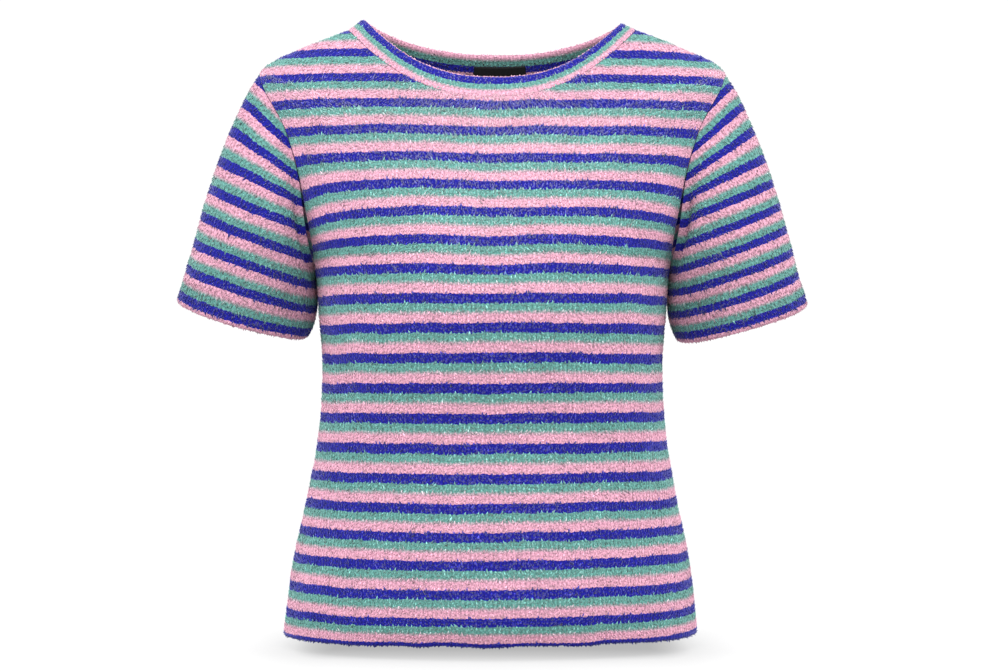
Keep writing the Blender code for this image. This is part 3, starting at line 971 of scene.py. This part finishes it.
def neckband():
    """The wall of cloth of the neckband, and the pile on its outside, fold and inside."""
    half = BAND_THICKNESS / 2
    turns = np.linspace(0, 2 * math.pi, BAND_COLUMNS * FINER + 1) + BAND_JOIN
    seam, fold = (band_point(turns, np.full(len(turns), share)) for share in (0.0, 1.0))
    height = np.linalg.norm(fold - seam, axis=1)
    below = half + finer(BAND_ROWS)[:, None] * (height - half - SEAM_ZONE)
    last = height - SEAM_ZONE * np.linspace(1, 0, FINER + 1)[1:, None]
    below_fold = np.concatenate([below, last])
    turn = np.repeat(turns[None, :], len(below_fold), axis=0)
    point, outward, up = band_frame(turn, 1 - below_fold / height)
    steps = np.linalg.norm(np.diff((seam + fold) / 2, axis=0), axis=1)
    u = np.concatenate([[0], np.cumsum(steps)])[None, :] + 0 * below_fold
    v = smooth_through(BAND_STRIPES, below_fold * BAND_HEIGHT / height)[..., 0]
    to_seam = np.minimum(height - below_fold, np.minimum(u, u[0, -1] - u))
    turned_v = v[0] - math.pi * half - BAND_INSIDE * (below_fold - half)
    surface = {
        "point": point,
        "outward": outward,
        "past": up,
        "thickness": np.full_like(u, BAND_THICKNESS),
        "dip": seam_dip(to_seam),
        "relief": BAND_CALM * crinkle(u + BAND_START, v, BAND_SEED) * seam_calm(to_seam),
        "nap": BAND_NAP * nap_size(to_seam + OVER_NECK_SEAM, below_fold),
        "u": u,
        "v": v,
        "turned_v": turned_v,
    }
    inside = dict(surface, point=point - outward * BAND_THICKNESS, outward=-outward, v=turned_v)
    inside["dip"] = 0 * u
    wall = cloth_wall("neckband_cloth", surface, len(u), closed=True, fine_inside=True)
    layers = [surface, fold_layer(surface), inside]
    return wall, pile("neckband_pile", layers, BAND_SEED + 6)


band, band_pile = neckband()
dress(band, ground)
dress(band_pile, tufted)
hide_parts("neckband")


# ============================================================ label
# A plain black woven label, caught in the back neck seam and lying against the band.
LABEL_WIDTH = 0.048
LABEL_HEIGHT = 0.0215
LABEL_THICKNESS = 0.0010
LABEL_OFF_CENTRE = 0.007
LABEL_CLEARANCE = 0.0007
LABEL_SHARES = (-0.45, 0.55)  # of the band's height, from the seam up
LABEL_CELLS = (4, 8)
LABEL_BLACK = (0.004, 0.004, 0.005, 1.0)


def woven_label():
    """Close black weave."""
    s = Shading("label_weave")
    cloth = s.add("UVMap", {}, uv_map="cloth")
    threads = s.add("TexWave", {0: cloth, "Scale": 320.0}, output=1, bands_direction="Y")
    s.into("Normal", s.add("Bump", {"Strength": 0.4, "Distance": 0.0002, "Height": threads}))
    s.shader.inputs["Base Color"].default_value = LABEL_BLACK
    s.shader.inputs["Roughness"].default_value = 0.7
    s.shader.inputs["Specular IOR Level"].default_value = 0.2
    return s.material


def label():
    """A small wall of cloth that follows the inside of the band."""
    radius = TORSO_RINGS[-1].half_width
    rows, columns = LABEL_CELLS
    reach = LABEL_WIDTH / 2 / radius
    centre = math.pi - LABEL_OFF_CENTRE / radius
    turns = centre + reach * np.linspace(-1, 1, columns * FINER + 1)
    shares = np.linspace(*LABEL_SHARES, rows * FINER + 1)
    turn, share = np.meshgrid(turns, shares)
    point, outward, up = band_frame(turn, share)
    zero = np.zeros_like(turn)
    v = share * LABEL_HEIGHT
    surface = {
        "point": point - outward * (BAND_THICKNESS + LABEL_CLEARANCE),
        "outward": outward,
        "past": -up,
        "thickness": zero + LABEL_THICKNESS,
        "dip": zero,
        "relief": zero,
        "u": turn * radius,
        "v": v,
        "turned_v": v,
    }
    return cloth_wall("neck_label", surface, 0, fine_inside=True)


neck_label = label()
dress(neck_label, woven_label())
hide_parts("label")


# ============================================================ studio
# A white floor just under the jumper, glowing of itself, with a painted shadow round its foot
# in that light, white light from all round, soft lights above both sides and behind, a wide lamp
# in front and above, which lights the chest more than the hem, and the camera straight in front.
FLOOR_HEIGHT = -0.4985
FLOOR_SIZE = 200.0
# A painted shadow on the floor: its own light is dimmer in a rounded box under the jumper and
# fades outwards.
PAINTED_SHADOW_SIZE = (0.132, 0.030, 1.0)  # half the width and depth of the shade's dark middle
PAINTED_SHADOW_FADE = (0.080, 0.160, 1.0)  # how far it takes to fade
# The floor's own light, from the painted shadow's rim (0) to its dark middle (1).
FLOOR_LIGHT_AND_PAINTED_SHADOW = tuple(
    (place, (glow, glow, glow, 1.0))
    for place, glow in (
        (0.05, 0.830),
        (0.22, 0.800),
        (0.40, 0.760),
        (0.58, 0.715),
        (0.77, 0.570),
        (1.00, 0.460),
    )
)
CAMERA_DISTANCE = 1.8
CAMERA_HEIGHT = -0.270
PIXELS_PER_METRE = 1180.0
IMAGE_WIDTH, IMAGE_HEIGHT = 1008, 672
MIDDLE_COLUMN, MIDDLE_ROW = 492.3, 375.0  # of the picture, where the camera's level meets x = 0
SKY_STRENGTH = 1.06
Lamp = namedtuple("Lamp", "name from_above round_the_side width strength")
LAMPS = (
    Lamp("left_light", 30, 75, 35, 2.35),
    Lamp("right_light", 30, -75, 35, 2.35),
    Lamp("left_rim_light", 30, 140, 35, 1.1),
    Lamp("right_rim_light", 30, -140, 35, 1.1),
)
FRONT_LAMP_PLACE = (0.0, -0.88, 0.44)
FRONT_LAMP_TILT = 53
FRONT_LAMP_SIZE = 0.8
FRONT_LAMP_STRENGTH = 8.2

floor_mesh = bpy.data.meshes.new("floor")
bm = bmesh.new()
bmesh.ops.create_grid(bm, x_segments=1, y_segments=1, size=FLOOR_SIZE / 2)
bmesh.ops.translate(bm, verts=bm.verts, vec=(0, 0, FLOOR_HEIGHT))
bm.to_mesh(floor_mesh)
bm.free()
floor = placed("floor", floor_mesh)
floor_light_and_painted_shadow = Shading("floor_light_and_painted_shadow")
floor_light_and_painted_shadow.shader.inputs["Base Color"].default_value = (0.10, 0.10, 0.10, 1.0)
# Painted shadow: how far inside it each place of the floor lies.
spot = floor_light_and_painted_shadow.add("TexCoord", {}, output=3)
for operation, value in (
    ("ABSOLUTE", (0.0, 0.0, 0.0)),
    ("SUBTRACT", PAINTED_SHADOW_SIZE),
    ("MAXIMUM", (0.0, 0.0, 0.0)),
    ("DIVIDE", PAINTED_SHADOW_FADE),
):
    spot = floor_light_and_painted_shadow.add("VectorMath", {0: spot, 1: value}, operation=operation)
in_painted_shadow = floor_light_and_painted_shadow.add("TexGradient", {0: spot}, output=1, gradient_type="SPHERICAL")
glow = floor_light_and_painted_shadow.ramp(in_painted_shadow, FLOOR_LIGHT_AND_PAINTED_SHADOW)
floor_light_and_painted_shadow.into("Emission Color", glow)
floor_light_and_painted_shadow.shader.inputs["Emission Strength"].default_value = 1.0
floor_light_and_painted_shadow.shader.inputs["Roughness"].default_value = 0.9
floor_light_and_painted_shadow.shader.inputs["Specular IOR Level"].default_value = 0.0
floor_mesh.materials.append(floor_light_and_painted_shadow.material)

world = bpy.data.worlds.new("studio")
world.use_nodes = True
background = world.node_tree.nodes["Background"]
background.inputs["Color"].default_value = WHITE
background.inputs["Strength"].default_value = SKY_STRENGTH
bpy.context.scene.world = world

for lamp in LAMPS:
    light = bpy.data.lights.new(lamp.name, "SUN")
    light.angle = math.radians(lamp.width)
    light.energy = lamp.strength
    tip, turn = math.radians(90 - lamp.from_above), math.radians(lamp.round_the_side)
    placed(lamp.name, light).rotation_euler = (tip, 0.0, turn)

front_lamp = bpy.data.lights.new("front_light", "AREA")
front_lamp.size = FRONT_LAMP_SIZE
front_lamp.energy = FRONT_LAMP_STRENGTH
holder = placed("front_light", front_lamp)
holder.location = FRONT_LAMP_PLACE
holder.rotation_euler = (math.radians(FRONT_LAMP_TILT), 0.0, 0.0)

camera = bpy.data.cameras.new("camera")
camera.sensor_width = 36.0
camera.lens = CAMERA_DISTANCE * PIXELS_PER_METRE * camera.sensor_width / IMAGE_WIDTH
camera.shift_x = (IMAGE_WIDTH / 2 - MIDDLE_COLUMN) / IMAGE_WIDTH
camera.shift_y = (MIDDLE_ROW - IMAGE_HEIGHT / 2) / IMAGE_WIDTH
stand = placed("camera", camera)
stand.location = (0.0, -CAMERA_DISTANCE, CAMERA_HEIGHT)
stand.rotation_euler = (math.radians(90), 0.0, 0.0)
bpy.context.scene.camera = stand
bpy.context.scene.view_settings.view_transform = "Standard"
